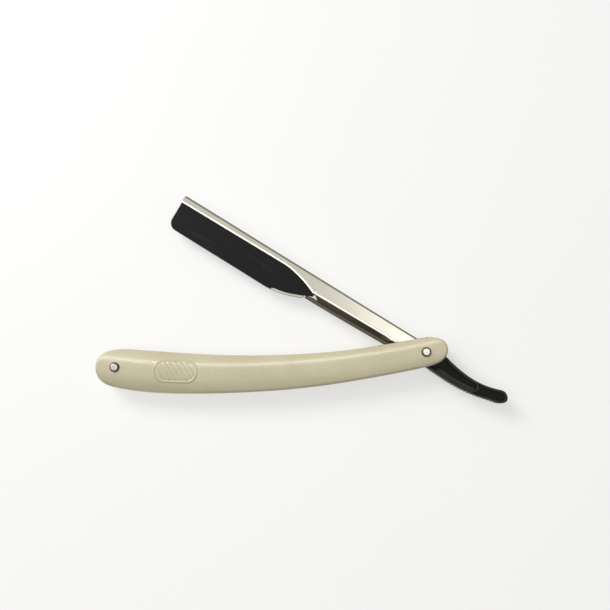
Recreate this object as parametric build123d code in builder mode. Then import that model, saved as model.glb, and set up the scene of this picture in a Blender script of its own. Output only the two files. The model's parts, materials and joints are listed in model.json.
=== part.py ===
"""Barber's straight razor with a replaceable-blade holder (a shavette), in millimetres.

Two crowned plastic scales are pinned together at both ends. Between them swings an arm folded
from steel sheet, with a plastic tang behind the pivot and a two-leaf plastic blade holder that
slides out of the arm's tip.

Frame: the origin is on the pivot axis, on the flat of the back pivot rivet, which is what the
razor lies on. +Z points to the front scale, +X from the tail rivet to the pivot, and +Y to the
side that the arm opens towards. The arm is drawn partly open.
"""

import os
from math import hypot

from build123d import *

# --- driving dimensions -------------------------------------------------------------------
PIN_SPACING = 129.5  # pivot rivet to tail rivet
SLOT_WIDTH = 5.2  # gap between the two scales
SCALE_THICKNESS = 3.0  # at the crown of a scale
SIDE_GAP = 0.3  # arm to scale, each side
OPEN_ANGLE = 34.8  # arm to the line of the pins, as drawn

# handle outline: share of the pin spacing from the pivot, and height from the line of the pins
UPPER_OUTLINE = [(0.077, 4.7), (0.23, 2.65), (0.42, 1.85), (0.62, 2.7), (0.77, 4.5), (0.93, 7.0)]
LOWER_OUTLINE = [(0.93, -10.3), (0.77, -12.3), (0.58, -12.9), (0.38, -12.1), (0.2, -9.8), (0.04, -6.95)]
# its rounded ends: reach and height from the tail rivet, and from the pivot
TAIL_OUTLINE = [(0, 7.5), (-5.3, 5.7), (-8.0, -0.2), (-5.6, -5.8), (0, -8.3)]
NOSE_OUTLINE = [(3.4, -5.25), (7.0, -3.6), (9.2, 0.6), (7.8, 4.35), (4.0, 5.95)]
CROWN_SAG = 5.3  # how far the handle's middle line dips between the pins
CROWN_RADIUS = 15.0  # of the outer face, across the handle
SCALE_EDGE_FILLET = 0.9

# tang outline: share of its bare length behind the sleeve, and drop from the pivot to the edge side
TANG_UPPER = [(0, -3.5), (0.16, -2.85), (0.33, -1.65), (0.5, -1.1), (0.615, -1.25)]
TANG_UPPER += [(0.73, -1.9), (0.845, -3.05), (0.93, -3.55)]
TANG_LOWER = [(0.94, 1.7), (0.845, 2.75), (0.73, 3.75), (0.615, 4.6), (0.5, 5.15)]
TANG_LOWER += [(0.33, 5.5), (0.16, 5.3), (0, 5.0)]

# rivets, their collars and the washers beside the arm
PIVOT_DIAMETER = 2.4
TAIL_PIN_DIAMETER = 2.2
HEAD_OVERHANG = 0.3  # peened head past the shank
HEAD_THICKNESS = 0.25
COLLAR_DIAMETER = 4.1
COLLAR_HEIGHT = 0.75
COLLAR_RIM = 0.25  # straight part of the collar's side
COLLAR_TOP_DIAMETER = 3.3
PEEN_HOLE_DIAMETER = 0.9
PEEN_HOLE_DEPTH = 1.0
RUNNING_CLEARANCE = 0.05  # radial, around the pivot
WASHER_DIAMETER = 5.0
WASHER_PLAY = 0.02  # washer to arm

# tail spacer
SPACER_TIP_GAP = 1.2  # swinging tip to spacer
SPACER_INSET = 0.7  # spacer inside the scales' outline

# steel arm
TIP_TO_TAIL_PIN = 7.3  # arm tip short of the tail rivet when closed
SHEET = 0.6
SPINE_RISE = 3.55  # spine above the pivot
FOLD_RADIUS = 1.1
TIP_CORNER = 0.7
FLARE_TANGENT = (0.84, -0.54)  # direction of the flare's edge at its point
STRIP_HEIGHT_TIP = 3.55  # steel over the holder at the tip
STRIP_HEIGHT_FLARE = 3.05  # and where the flare starts
FLARE_RUN = 17.6
FLARE_DROP = 7.5  # below the spine, at the flare's point
CREASE_FRONT = 6.9  # crease below the spine, at the flare
CREASE_REAR = 6.1  # and at the sleeve's end
HEM_FRONT = 10.5  # bottom of the hems below the spine, at the flare
HEM_REAR = 8.55  # and at the sleeve's end
HEM_RADIUS = 0.85
HEM_SEAM = 0.06  # between the two hems
HEM_SETBACK = 0.4  # inward bevels start behind the flare's point
HEM_SLANT = 4.6  # and end this much further back at the hems, on a slanted cut
HEM_LEAD = 2.7  # hems run this far ahead of the flare's point, under the holder's heel
HEM_LEAD_RADIUS = 0.5  # where they thin out
SLEEVE_REAR = 4.5  # sleeve past the pivot

# blade holder
HOLDER_LENGTH = 69.6
HOLDER_CLEARANCE = 0.1  # to the sheet, each side and above
HOLDER_DEPTH = 15.2  # holder's edge below the spine
HOLDER_EDGE_THICKNESS = 2.0
HEEL_RUN = 19.3
HEEL_DEPTH = 8.2  # holder's depth below the spine at its rear end
HEEL_STEP = (3.4, 9.7, 10.95)  # step in the heel: run from the rear end, and its two depths
HEEL_TANGENT = (-0.93, -0.37)  # direction of the heel where it meets the step
HOLDER_TIP_SETBACK = 0.05  # top of the holder's tip behind the arm's tip
HOLDER_TIP_LEAN = 0.5  # how far the tip leans back down to its rounded corner
HOLDER_CORNER = (3.4, 4.0)  # rounded lower corner: run along the edge, and rise
HOLDER_CORNER_TANGENT = (-0.06, 1)
BLADE_LENGTH = 43.2  # half of a double-edge blade
BLADE_SLOT = 0.16
BLADE_SLOT_TOP = 4.4  # below the spine
BLADE_FRONT_SETBACK = 3.0
BLADE_PIN_DIAMETER = 1.6
BLADE_PIN_LENGTH = 0.8
BLADE_PIN_SPACING = 15.0
BLADE_PIN_DROP = 1.9  # below the top of the blade slot
BLADE_PIN_CLEARANCE = 0.1

# tang
TANG_CORE_FRONT = 12.0  # core inside the sleeve, forward of the pivot
TANG_FIT = 0.05  # core to the sheet
TANG_LENGTH = 39.4
TANG_END_DROP = -0.9
TANG_RIM = 0.9
THUMB_RECESS = 0.85
TAIL_RECESS = 0.4
RECESS_WEB = 0.9  # bar between the two recesses
RECESS_SPLIT = 26.4  # bar's place behind the pivot
NOTCH_RADIUS = 0.45
NOTCH_COUNT = 13
NOTCH_SPAN = (0.1, 0.66)  # share of the lower edge, from the tang's end
TANG_EDGE_FILLET = 0.5

# --- worked out from them -------------------------------------------------------------------
RIVET_RISE = COLLAR_HEIGHT + HEAD_THICKNESS
MID_HEIGHT = RIVET_RISE + SCALE_THICKNESS + SLOT_WIDTH / 2
TOP_HEIGHT = 2 * MID_HEIGHT
ARM_WIDTH = SLOT_WIDTH - 2 * SIDE_GAP
ARM_TIP = PIN_SPACING - TIP_TO_TAIL_PIN
FLARE_POINT = ARM_TIP - HOLDER_LENGTH
HEM_START = FLARE_POINT - HEM_SETBACK
SPINE = -SPINE_RISE
TANG_START = -SLEEVE_REAR - TANG_FIT
INNER_FOLD = FOLD_RADIUS - SHEET

ARM_PLANE = Plane(
    origin=(0, 0, MID_HEIGHT),
    x_dir=Vector(-1, 0, 0).rotate(Axis.Z, -OPEN_ANGLE),
    z_dir=(0, 0, 1),
)


def arm_section(along):
    """The plane across the arm: its x runs to the cutting edge and its y is up."""
    middle = ARM_PLANE.from_local_coords((along, 0, 0))
    return Plane(origin=middle, x_dir=ARM_PLANE.y_dir, z_dir=ARM_PLANE.x_dir)


def rounded_end(outline, at, inset):
    """Points around one rivet, each moved towards it by the inset."""
    shares = [1 - inset / hypot(reach, height) for reach, height in outline]
    return [(at + reach * share, height * share) for (reach, height), share in zip(outline, shares)]


def handle_outline(inset=0.0):
    """The scales' outline as one smooth closed curve, moved in by the inset."""
    upper = [(-PIN_SPACING * share, height - inset) for share, height in UPPER_OUTLINE]
    lower = [(-PIN_SPACING * share, height + inset) for share, height in LOWER_OUTLINE]
    tail = rounded_end(TAIL_OUTLINE, -PIN_SPACING, inset)
    nose = rounded_end(NOSE_OUTLINE, 0, inset)
    return Spline(*upper, *tail, *lower, *nose, periodic=True)


def scale_blank(inner_height, outward):
    """A scale: the outline pushed out from its inner face and crowned by a bent round bar."""
    bend_radius = PIN_SPACING**2 / (8 * CROWN_SAG) + CROWN_SAG / 2
    crown_height = inner_height + outward * (SCALE_THICKNESS - CROWN_RADIUS)
    bend_axis = Axis((-PIN_SPACING / 2, bend_radius - CROWN_SAG, 0), (0, 0, 1))
    with BuildPart() as blank:
        with BuildSketch(Plane.XY.offset(inner_height)):
            with BuildLine():
                handle_outline()
            make_face()
        extrude(amount=outward * SCALE_THICKNESS)
        with BuildSketch(Plane.YZ.offset(-PIN_SPACING / 2)):
            with Locations((-CROWN_SAG, crown_height)):
                Circle(CROWN_RADIUS)
        revolve(axis=bend_axis, mode=Mode.INTERSECT)
        fillet(blank.faces().sort_by(Axis.Z)[-1 if outward > 0 else 0].edges(), SCALE_EDGE_FILLET)
        for at, diameter in ((0, PIVOT_DIAMETER), (-PIN_SPACING, TAIL_PIN_DIAMETER)):
            with Locations((at, 0, MID_HEIGHT)):
                Cylinder(diameter / 2, TOP_HEIGHT, mode=Mode.SUBTRACT)
    return blank.part


def collar(at, pin_diameter, outward):
    """A conical collar under one rivet head, seated on the crown of a scale."""
    seat = MID_HEIGHT + outward * (SLOT_WIDTH / 2 + SCALE_THICKNESS)
    with BuildPart() as ring:
        with BuildSketch(Plane.XZ):
            with BuildLine():
                Polyline(
                    (at + pin_diameter / 2, seat),
                    (at + COLLAR_DIAMETER / 2, seat),
                    (at + COLLAR_DIAMETER / 2, seat + outward * COLLAR_RIM),
                    (at + COLLAR_TOP_DIAMETER / 2, seat + outward * COLLAR_HEIGHT),
                    (at + pin_diameter / 2, seat + outward * COLLAR_HEIGHT),
                    close=True,
                )
            make_face()
        revolve(axis=Axis((at, 0, 0), (0, 0, 1)))
    return ring.part


def rivet(at, diameter):
    """A rivet through both scales, its ends peened out over the collars."""
    with BuildPart() as pin:
        with Locations((at, 0, MID_HEIGHT)):
            Cylinder(diameter / 2, TOP_HEIGHT)
        for height in (HEAD_THICKNESS / 2, TOP_HEIGHT - HEAD_THICKNESS / 2):
            with Locations((at, 0, height)):
                Cylinder(diameter / 2 + HEAD_OVERHANG, HEAD_THICKNESS)
        rims = pin.edges().filter_by(GeomType.CIRCLE).filter_by_position(Axis.Z, 0, 0)
        rims += pin.edges().filter_by(GeomType.CIRCLE).filter_by_position(Axis.Z, TOP_HEIGHT, TOP_HEIGHT)
        chamfer(rims, HEAD_THICKNESS / 3)
    return pin.part


def washer(outward):
    """A thin washer on the pivot rivet, between a scale and the arm."""
    thickness = SIDE_GAP - WASHER_PLAY
    with BuildPart() as ring:
        with Locations((0, 0, MID_HEIGHT + outward * (SLOT_WIDTH - thickness) / 2)):
            Cylinder(WASHER_DIAMETER / 2, thickness)
            Cylinder(PIVOT_DIAMETER / 2, thickness, mode=Mode.SUBTRACT)
    return ring.part


def steel_silhouette():
    """Side view of the folded sheet: spine, sleeve, flare and the strip over the holder."""
    Line((ARM_TIP - TIP_CORNER, SPINE), (-SLEEVE_REAR, SPINE))
    Line((-SLEEVE_REAR, SPINE), (-SLEEVE_REAR, SPINE + CREASE_REAR))
    Line((-SLEEVE_REAR, SPINE + CREASE_REAR), (HEM_START, SPINE + CREASE_FRONT))
    Line((HEM_START, SPINE + CREASE_FRONT), (FLARE_POINT, SPINE + FLARE_DROP))
    flare_end = (FLARE_POINT + FLARE_RUN, SPINE + STRIP_HEIGHT_FLARE)
    Spline((FLARE_POINT, SPINE + FLARE_DROP), flare_end, tangents=[FLARE_TANGENT, (1, 0)])
    tip_bottom = (ARM_TIP - TIP_CORNER, SPINE + STRIP_HEIGHT_TIP)
    Line(flare_end, tip_bottom)
    mid_tip = (ARM_TIP, SPINE + STRIP_HEIGHT_TIP / 2)
    ThreePointArc(tip_bottom, mid_tip, (ARM_TIP - TIP_CORNER, SPINE))


def hem_rail(side):
    """One side's inward bevel and rolled hem, tapering from the flare to the sleeve's end."""
    stations = (
        (-SLEEVE_REAR, SPINE + CREASE_REAR, SPINE + HEM_REAR, HEM_RADIUS),
        (HEM_START, SPINE + CREASE_FRONT, SPINE + HEM_FRONT, HEM_RADIUS),
        (FLARE_POINT + HEM_LEAD, SPINE + CREASE_FRONT, SPINE + HEM_FRONT, HEM_LEAD_RADIUS),
    )
    bead_centre = side * (HEM_RADIUS + HEM_SEAM / 2)
    with BuildPart() as rail:
        for along, crease, bottom, _ in stations[:2]:
            groove = bottom - 1.5 * HEM_RADIUS
            with BuildSketch(arm_section(along)):
                with BuildLine():
                    Polyline(
                        (crease - SHEET, side * ARM_WIDTH / 2),
                        (crease, side * ARM_WIDTH / 2),
                        (groove, bead_centre + side * SHEET / 2),
                        (groove, bead_centre - side * SHEET / 2),
                        (crease - SHEET, side * (ARM_WIDTH / 2 - SHEET)),
                        close=True,
                    )
                make_face()
        loft()
        with BuildSketch(ARM_PLANE.offset(-ARM_WIDTH)):
            with BuildLine():
                Polyline(
                    (HEM_START, SPINE + CREASE_FRONT),
                    (HEM_START - HEM_SLANT, SPINE + HEM_FRONT),
                    (HEM_START + SHEET, SPINE + HEM_FRONT),
                    (HEM_START + SHEET, SPINE + CREASE_FRONT),
                    close=True,
                )
            make_face()
        extrude(amount=2 * ARM_WIDTH, mode=Mode.SUBTRACT)
        for rear, front in zip(stations, stations[1:]):
            for along, _, bottom, radius in (rear, front):
                with BuildSketch(arm_section(along)):
                    with Locations((bottom - radius, bead_centre)):
                        Circle(radius)
            loft()
    return rail.part


def tang_outline(inset=0.0):
    """Side view of the tang behind the sleeve, its long edges moved in by the inset."""
    bare = TANG_LENGTH + TANG_START
    upper = [(TANG_START - bare * share, drop + inset) for share, drop in TANG_UPPER]
    lower = [(TANG_START - bare * share, drop - inset) for share, drop in TANG_LOWER]
    end = (inset - TANG_LENGTH, TANG_END_DROP)
    Spline(*upper, end, *lower)
    Line(lower[-1], upper[0])


def grip_notches():
    """Shallow notches across the tang's lower edge, where the finger rests."""
    bare = TANG_LENGTH + TANG_START
    with BuildPart() as notches:
        along_edge = [(TANG_START - bare * share, drop) for share, drop in TANG_LOWER]
        edge = Spline(*along_edge, mode=Mode.PRIVATE)
        first, last = NOTCH_SPAN
        for index in range(NOTCH_COUNT):
            place = edge @ (first + (last - first) * index / (NOTCH_COUNT - 1))
            with Locations(ARM_PLANE * Location((place.X, place.Y, 0))):
                Cylinder(NOTCH_RADIUS, 2 * ARM_WIDTH)
    return notches.part


def leaf_outline():
    """Side view of a holder leaf: a long straight edge, a leaning tip and a slanted heel."""
    top = SPINE + SHEET + HOLDER_CLEARANCE
    bottom = SPINE + HOLDER_DEPTH
    corner_run, corner_rise = HOLDER_CORNER
    tip_top = (ARM_TIP - HOLDER_TIP_SETBACK, top)
    tip_bottom = (ARM_TIP - HOLDER_TIP_SETBACK - HOLDER_TIP_LEAN, bottom - corner_rise)
    edge_front = (tip_bottom[0] - corner_run, bottom)
    edge_rear = (FLARE_POINT + HEEL_RUN, bottom)
    step_run, step_top, step_bottom = HEEL_STEP
    step = (FLARE_POINT + step_run, SPINE + step_bottom)
    step_inside = (FLARE_POINT + step_run, SPINE + step_top)
    rear_end = (FLARE_POINT, SPINE + HEEL_DEPTH)
    Polyline(step, step_inside, rear_end, (FLARE_POINT, top), tip_top, tip_bottom)
    Spline(tip_bottom, edge_front, tangents=[HOLDER_CORNER_TANGENT, (-1, 0)])
    Line(edge_front, edge_rear)
    Spline(edge_rear, step, tangents=[(-1, 0), HEEL_TANGENT])


def holder_leaf(side):
    """One leaf of the blade holder: full thickness in the sheet, thinner at the cutting edge."""
    thickness = ARM_WIDTH / 2 - SHEET - HOLDER_CLEARANCE
    top = SPINE + SHEET + HOLDER_CLEARANCE
    taper_start = SPINE + STRIP_HEIGHT_TIP
    with BuildPart() as leaf:
        with BuildSketch(ARM_PLANE):
            with BuildLine():
                leaf_outline()
            make_face()
        extrude(amount=side * thickness)
        with BuildSketch(arm_section(0)):
            with BuildLine():
                Polyline(
                    (top, 0),
                    (top, side * (thickness - INNER_FOLD)),
                    (top + INNER_FOLD, side * thickness),
                    (taper_start, side * thickness),
                    (SPINE + HOLDER_DEPTH, side * HOLDER_EDGE_THICKNESS / 2),
                    (SPINE + HOLDER_DEPTH, 0),
                    close=True,
                )
            make_face()
        extrude(amount=2 * ARM_TIP, mode=Mode.INTERSECT)
        with BuildSketch(ARM_PLANE):
            with Locations((ARM_TIP - BLADE_FRONT_SETBACK, SPINE + BLADE_SLOT_TOP)):
                Rectangle(BLADE_LENGTH, 2 * HOLDER_DEPTH, align=(Align.MAX, Align.MIN))
        extrude(amount=side * BLADE_SLOT / 2, mode=Mode.SUBTRACT)
    return leaf.part


def blade_pins(radius, reach):
    """Round pegs across the blade slot, rising from its back wall."""
    middle = ARM_TIP - BLADE_FRONT_SETBACK - BLADE_LENGTH / 2
    floor = MID_HEIGHT - BLADE_SLOT / 2
    with BuildPart() as pegs:
        for step in (-1, 0, 1):
            place = ARM_PLANE.from_local_coords(
                (middle + step * BLADE_PIN_SPACING, SPINE + BLADE_SLOT_TOP + BLADE_PIN_DROP, 0)
            )
            with Locations((place.X, place.Y, floor)):
                Cylinder(radius, reach, align=(Align.CENTER, Align.CENTER, Align.MIN))
    return pegs.part


os.makedirs("parts", exist_ok=True)

FRONT_SEAT = MID_HEIGHT + SLOT_WIDTH / 2
BACK_SEAT = MID_HEIGHT - SLOT_WIDTH / 2
pieces = {}

# --- handle: two scales, the spacer at the tail, rivets, collars and washers --------------------
pieces["front_scale"] = scale_blank(FRONT_SEAT, 1)
pieces["back_scale"] = scale_blank(BACK_SEAT, -1)

with BuildPart() as tail_spacer:
    with BuildSketch(Plane.XY.offset(BACK_SEAT)):
        with BuildLine():
            handle_outline(SPACER_INSET)
        make_face()
        with Locations((-ARM_TIP - SPACER_TIP_GAP, 0)):
            Rectangle(PIN_SPACING, PIN_SPACING, align=(Align.MAX, Align.CENTER), mode=Mode.INTERSECT)
        with Locations((-PIN_SPACING, 0)):
            Circle(TAIL_PIN_DIAMETER / 2, mode=Mode.SUBTRACT)
    extrude(amount=SLOT_WIDTH)
pieces["tail_spacer"] = tail_spacer.part

for side_name, outward in (("front", 1), ("back", -1)):
    pieces[f"pivot_collar_{side_name}"] = collar(0, PIVOT_DIAMETER, outward)
    pieces[f"tail_collar_{side_name}"] = collar(-PIN_SPACING, TAIL_PIN_DIAMETER, outward)
    pieces[f"pivot_washer_{side_name}"] = washer(outward)

pieces["pivot_rivet"] = rivet(0, PIVOT_DIAMETER)
tail_blank = rivet(-PIN_SPACING, TAIL_PIN_DIAMETER)
with BuildPart() as tail_rivet:
    add(tail_blank)
    for height in (PEEN_HOLE_DEPTH / 2, TOP_HEIGHT - PEEN_HOLE_DEPTH / 2):
        with Locations((-PIN_SPACING, 0, height)):
            Cylinder(PEEN_HOLE_DIAMETER / 2, PEEN_HOLE_DEPTH, mode=Mode.SUBTRACT)
pieces["tail_rivet"] = tail_rivet.part

# --- arm: one folded sheet, with the tang in its rear end ----------------------------------------
near_rail = hem_rail(1)
far_rail = hem_rail(-1)
with BuildPart() as steel_arm:
    with BuildSketch(ARM_PLANE):
        with BuildLine():
            steel_silhouette()
        make_face()
    extrude(amount=ARM_WIDTH / 2, both=True)
    fillet(steel_arm.edges().filter_by(lambda edge: edge.length > 0.9 * ARM_TIP), FOLD_RADIUS)
    with BuildSketch(arm_section(-2 * SLEEVE_REAR)):
        with Locations((SPINE + SHEET, 0)):
            RectangleRounded(
                3 * HEM_FRONT, ARM_WIDTH - 2 * SHEET, INNER_FOLD, align=(Align.MIN, Align.CENTER)
            )
    extrude(amount=2 * ARM_TIP, mode=Mode.SUBTRACT)
    add(near_rail)
    add(far_rail)
    with Locations(ARM_PLANE):
        Cylinder(PIVOT_DIAMETER / 2 + RUNNING_CLEARANCE, TOP_HEIGHT, mode=Mode.SUBTRACT)
pieces["steel_arm"] = steel_arm.part

notches = grip_notches()
core_height = ARM_WIDTH / 2 - SHEET - TANG_FIT
core_top = SPINE + SHEET + TANG_FIT
core_bottom = SPINE + CREASE_REAR - SHEET
with BuildPart() as tang:
    with BuildSketch(ARM_PLANE):
        with BuildLine():
            tang_outline()
        make_face()
    extrude(amount=ARM_WIDTH / 2, both=True)
    fillet(tang.faces().filter_by(Axis.Z).edges().filter_by(GeomType.BSPLINE), TANG_EDGE_FILLET)
    for side in (1, -1):
        for inner, outer, depth in (
            (SLEEVE_REAR, RECESS_SPLIT, THUMB_RECESS),
            (RECESS_SPLIT + RECESS_WEB, TANG_LENGTH, TAIL_RECESS),
        ):
            with BuildSketch(ARM_PLANE.offset(side * ARM_WIDTH / 2)):
                with BuildLine():
                    tang_outline(TANG_RIM)
                make_face()
                with Locations((-inner, 0)):
                    Rectangle(
                        outer - inner,
                        TANG_LENGTH,
                        align=(Align.MAX, Align.CENTER),
                        mode=Mode.INTERSECT,
                    )
            extrude(amount=-side * depth, mode=Mode.SUBTRACT)
    add(notches, mode=Mode.SUBTRACT)
    with BuildSketch(arm_section(TANG_START - SHEET)):
        with BuildLine():
            Polyline(
                (core_top, core_height - INNER_FOLD),
                (core_top + INNER_FOLD, core_height),
                (core_bottom, core_height),
                (core_bottom, -core_height),
                (core_top + INNER_FOLD, -core_height),
                (core_top, INNER_FOLD - core_height),
                close=True,
            )
        make_face()
    extrude(amount=TANG_CORE_FRONT - TANG_START + SHEET)
    with Locations(ARM_PLANE):
        Cylinder(PIVOT_DIAMETER / 2 + RUNNING_CLEARANCE, TOP_HEIGHT, mode=Mode.SUBTRACT)
pieces["tang"] = tang.part

# --- blade holder: two leaves, pegs on the back one and sockets in the front one -------------------
front_leaf_blank = holder_leaf(1)
back_leaf_blank = holder_leaf(-1)
peg_radius = BLADE_PIN_DIAMETER / 2
peg_reach = BLADE_SLOT + BLADE_PIN_LENGTH
pegs = blade_pins(peg_radius, peg_reach)
sockets = blade_pins(peg_radius + BLADE_PIN_CLEARANCE, peg_reach + BLADE_PIN_CLEARANCE)
with BuildPart() as holder_front_leaf:
    add(front_leaf_blank)
    add(sockets, mode=Mode.SUBTRACT)
with BuildPart() as holder_back_leaf:
    add(back_leaf_blank)
    add(pegs)
pieces["holder_front_leaf"] = holder_front_leaf.part
pieces["holder_back_leaf"] = holder_back_leaf.part

for name, piece in pieces.items():
    piece.label = name
    export_step(piece, f"parts/{name}.step")
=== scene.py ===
# %% [markdown]
# # A barber's folding razor with a blade holder
#
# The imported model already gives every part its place, size and joint. This lesson gives each part
# the surface that a hand would know: a crowned and moulded handle, a folded and polished steel arm,
# a ribbed black tang, and a matte holder for half a blade. Each visible part is worked out again as
# a fine grid of points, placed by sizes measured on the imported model, so nothing is fitted by eye.

import json
import math

import bmesh
import bpy
import numpy as np
from mathutils import Matrix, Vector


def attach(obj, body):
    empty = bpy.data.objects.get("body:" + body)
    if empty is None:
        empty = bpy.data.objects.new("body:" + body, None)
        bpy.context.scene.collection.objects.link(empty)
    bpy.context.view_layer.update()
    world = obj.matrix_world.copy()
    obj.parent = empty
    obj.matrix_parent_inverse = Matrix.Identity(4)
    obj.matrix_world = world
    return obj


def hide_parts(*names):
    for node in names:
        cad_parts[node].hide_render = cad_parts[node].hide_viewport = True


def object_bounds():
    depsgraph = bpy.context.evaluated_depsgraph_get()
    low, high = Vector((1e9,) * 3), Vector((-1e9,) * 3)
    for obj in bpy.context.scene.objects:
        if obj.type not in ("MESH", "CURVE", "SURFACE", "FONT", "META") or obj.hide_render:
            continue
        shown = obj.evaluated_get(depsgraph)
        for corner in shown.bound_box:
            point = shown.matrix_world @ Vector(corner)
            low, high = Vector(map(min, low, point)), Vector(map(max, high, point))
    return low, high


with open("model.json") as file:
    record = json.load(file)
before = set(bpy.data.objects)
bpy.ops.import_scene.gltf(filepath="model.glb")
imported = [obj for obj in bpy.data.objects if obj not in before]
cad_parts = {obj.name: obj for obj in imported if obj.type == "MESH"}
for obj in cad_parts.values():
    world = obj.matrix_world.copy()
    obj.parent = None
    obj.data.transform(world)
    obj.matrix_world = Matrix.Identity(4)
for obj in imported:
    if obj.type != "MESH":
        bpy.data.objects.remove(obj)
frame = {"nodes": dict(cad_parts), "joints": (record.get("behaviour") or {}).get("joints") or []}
cad_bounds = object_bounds()
joints = {joint["name"]: joint for joint in frame["joints"]}
print("nodes:", ", ".join(sorted(frame["nodes"])))

# %% [markdown]
# ## Where things are
#
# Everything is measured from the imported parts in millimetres. The arm has axes of its own: along it
# towards the tip, across it towards the cutting edge, and up. The slide joint of the blade holder
# already runs along the arm, so its axis gives the first of them.

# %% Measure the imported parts
MM = 0.001
UP = np.array([0.0, 0.0, 1.0])
ALONG = np.array(joints["holder_slide"]["axis"], float)
ALONG /= np.linalg.norm(ALONG)
EDGEWARD = np.cross(UP, ALONG)


def corners(node):
    """A part's vertices in millimetres, one row each."""
    mesh = frame["nodes"][node].data
    flat = np.empty(3 * len(mesh.vertices))
    mesh.vertices.foreach_get("co", flat)
    return flat.reshape(-1, 3) / MM


def reach(node, direction):
    """How far a part reaches along a direction: its lowest and highest value in millimetres."""
    spread = corners(node) @ direction
    return float(spread.min()), float(spread.max())


def to_row(along, edgeward, height):
    """Points given in the arm's own axes, as points of the shared frame."""
    points = np.stack(np.broadcast_arrays(along, edgeward, height), axis=-1)
    return points[..., :1] * ALONG + points[..., 1:2] * EDGEWARD + points[..., 2:] * UP


sleeve_end, arm_tip = reach("steel_arm", ALONG)
spine, hem_bottom = reach("steel_arm", EDGEWARD)
arm_low, arm_high = reach("steel_arm", UP)
heel, holder_tip = reach("holder_front_leaf", ALONG)
holder_edge = reach("holder_front_leaf", EDGEWARD)[1]
tang_end = reach("tang", ALONG)[0]
tail_x = sum(reach("tail_rivet", np.array([1.0, 0.0, 0.0]))) / 2
middle = (arm_low + arm_high) / 2
print(f"arm from {sleeve_end:.2f} to {arm_tip:.2f} mm, spine at {spine:.2f}")
print(f"tail rivet at {tail_x:.1f} mm")

# %% [markdown]
# ## Turning grids of points into pieces
#
# Almost every piece here is one closed loop of points, carried along a path. The loop is an array
# of shape (stations, points, 3). Two helpers do the rest: one joins the grid into faces and closes
# its ends, and one rounds the corners of a whole stack of outlines at once, because no real edge is
# perfectly sharp and it is the rounding that catches the light.


# %% Helpers for grids
def skin(name, sheets, closed_ends=True, crease=32.0):
    """One mesh object from grids of points in millimetres.

    Each sheet is (stations, points, 3). Neighbouring points and neighbouring stations share quads,
    each station is a closed loop, and the first and last loops are filled by one face each. Points
    that fall together, as at the pole of a turned part, are merged.
    """
    build = bmesh.new()
    for sheet in sheets:
        stations, points = sheet.shape[:2]
        index = np.arange(stations * points).reshape(stations, points)
        ring = np.roll(index, -1, axis=1)
        quads = np.stack([index[:-1], ring[:-1], ring[1:], index[1:]], axis=-1).reshape(-1, 4)
        faces = quads.tolist()
        if closed_ends:
            faces += [index[0, ::-1].tolist(), index[-1].tolist()]
        part = bpy.data.meshes.new(name)
        part.from_pydata((sheet.reshape(-1, 3) * MM).tolist(), [], faces)
        build.from_mesh(part)
        bpy.data.meshes.remove(part)
    bmesh.ops.remove_doubles(build, verts=build.verts, dist=2e-7)
    bmesh.ops.dissolve_degenerate(build, edges=build.edges, dist=1e-8)
    bmesh.ops.recalc_face_normals(build, faces=build.faces)
    mesh = bpy.data.meshes.new(name)
    build.to_mesh(mesh)
    build.free()
    mesh.polygons.foreach_set("use_smooth", [True] * len(mesh.polygons))
    mesh.set_sharp_from_angle(angle=math.radians(crease))
    piece = bpy.data.objects.new(name, mesh)
    bpy.context.scene.collection.objects.link(piece)
    print(f"{name}: {sum(len(face.vertices) - 2 for face in mesh.polygons)} triangles")
    return piece


def soften(outline, radii, steps=5):
    """Rounds the corners of closed outlines.

    The outline is (stations, corners, 2). Each corner becomes a parabola that leaves one side and
    meets the other at the corner's radius from it: a weighted mean of the two ends and the corner.
    One more point on each side, a little further off, keeps the straight beside it truly flat.
    """
    before = np.roll(outline, 1, axis=1) - outline
    after = np.roll(outline, -1, axis=1) - outline
    size = np.asarray(radii)[None, :, None]
    sides = []
    for side in (before, after):
        length = np.linalg.norm(side, axis=-1, keepdims=True)
        near = side * np.minimum(size / length, 0.46)
        far = side * np.minimum((size + 0.04) / length, 0.49)
        sides.append((near[:, :, None], far[:, :, None]))
    (start, lead_in), (stop, lead_out) = sides
    turn = np.linspace(0, 1, steps)[None, None, :, None]
    curve = start * (1 - turn) ** 2 + stop * turn**2
    points = outline[:, :, None] + np.concatenate([lead_in, curve, lead_out], axis=2)
    return points.reshape(len(outline), -1, 2)


def ramp(value, low, high):
    """0 below low, 1 above high, and a smooth step between them."""
    share = np.clip((value - low) / (high - low), 0, 1)
    return share * share * (3 - 2 * share)


def smooth_loop(points, samples):
    """A closed curve through the points: the periodic cubic spline by chord length."""
    step = np.linalg.norm(np.roll(points, -1, axis=0) - points, axis=1)
    count = len(points)
    before = np.roll(step, 1)
    rows = np.arange(count)
    system = np.zeros((count, count))
    system[rows, rows] = 2 * (before + step)
    system[rows, rows - 1] += before
    system[rows, (rows + 1) % count] += step
    slope = (np.roll(points, -1, axis=0) - points) / step[:, None]
    bend = np.linalg.solve(system, 6 * (slope - np.roll(slope, 1, axis=0)))
    knots = np.concatenate([[0], np.cumsum(step)])
    where = np.linspace(0, knots[-1], samples, endpoint=False)
    span = np.searchsorted(knots, where, side="right") - 1
    left, right = span, (span + 1) % count
    size = step[span][:, None]
    a = (knots[span + 1] - where)[:, None] / size
    b = 1 - a
    curve = a * points[left] + b * points[right]
    return curve + ((a**3 - a) * bend[left] + (b**3 - b) * bend[right]) * size**2 / 6


def far_from(outline, x, y):
    """Each grid point's distance from an outline, worked out a block of stations at a time."""
    blocks = []
    for xs, ys in zip(np.array_split(x, 40), np.array_split(y, 40)):
        gap = np.hypot(xs[..., None] - outline[:, 0], ys[..., None] - outline[:, 1])
        blocks.append(gap.min(axis=-1))
    return np.concatenate(blocks)


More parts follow.
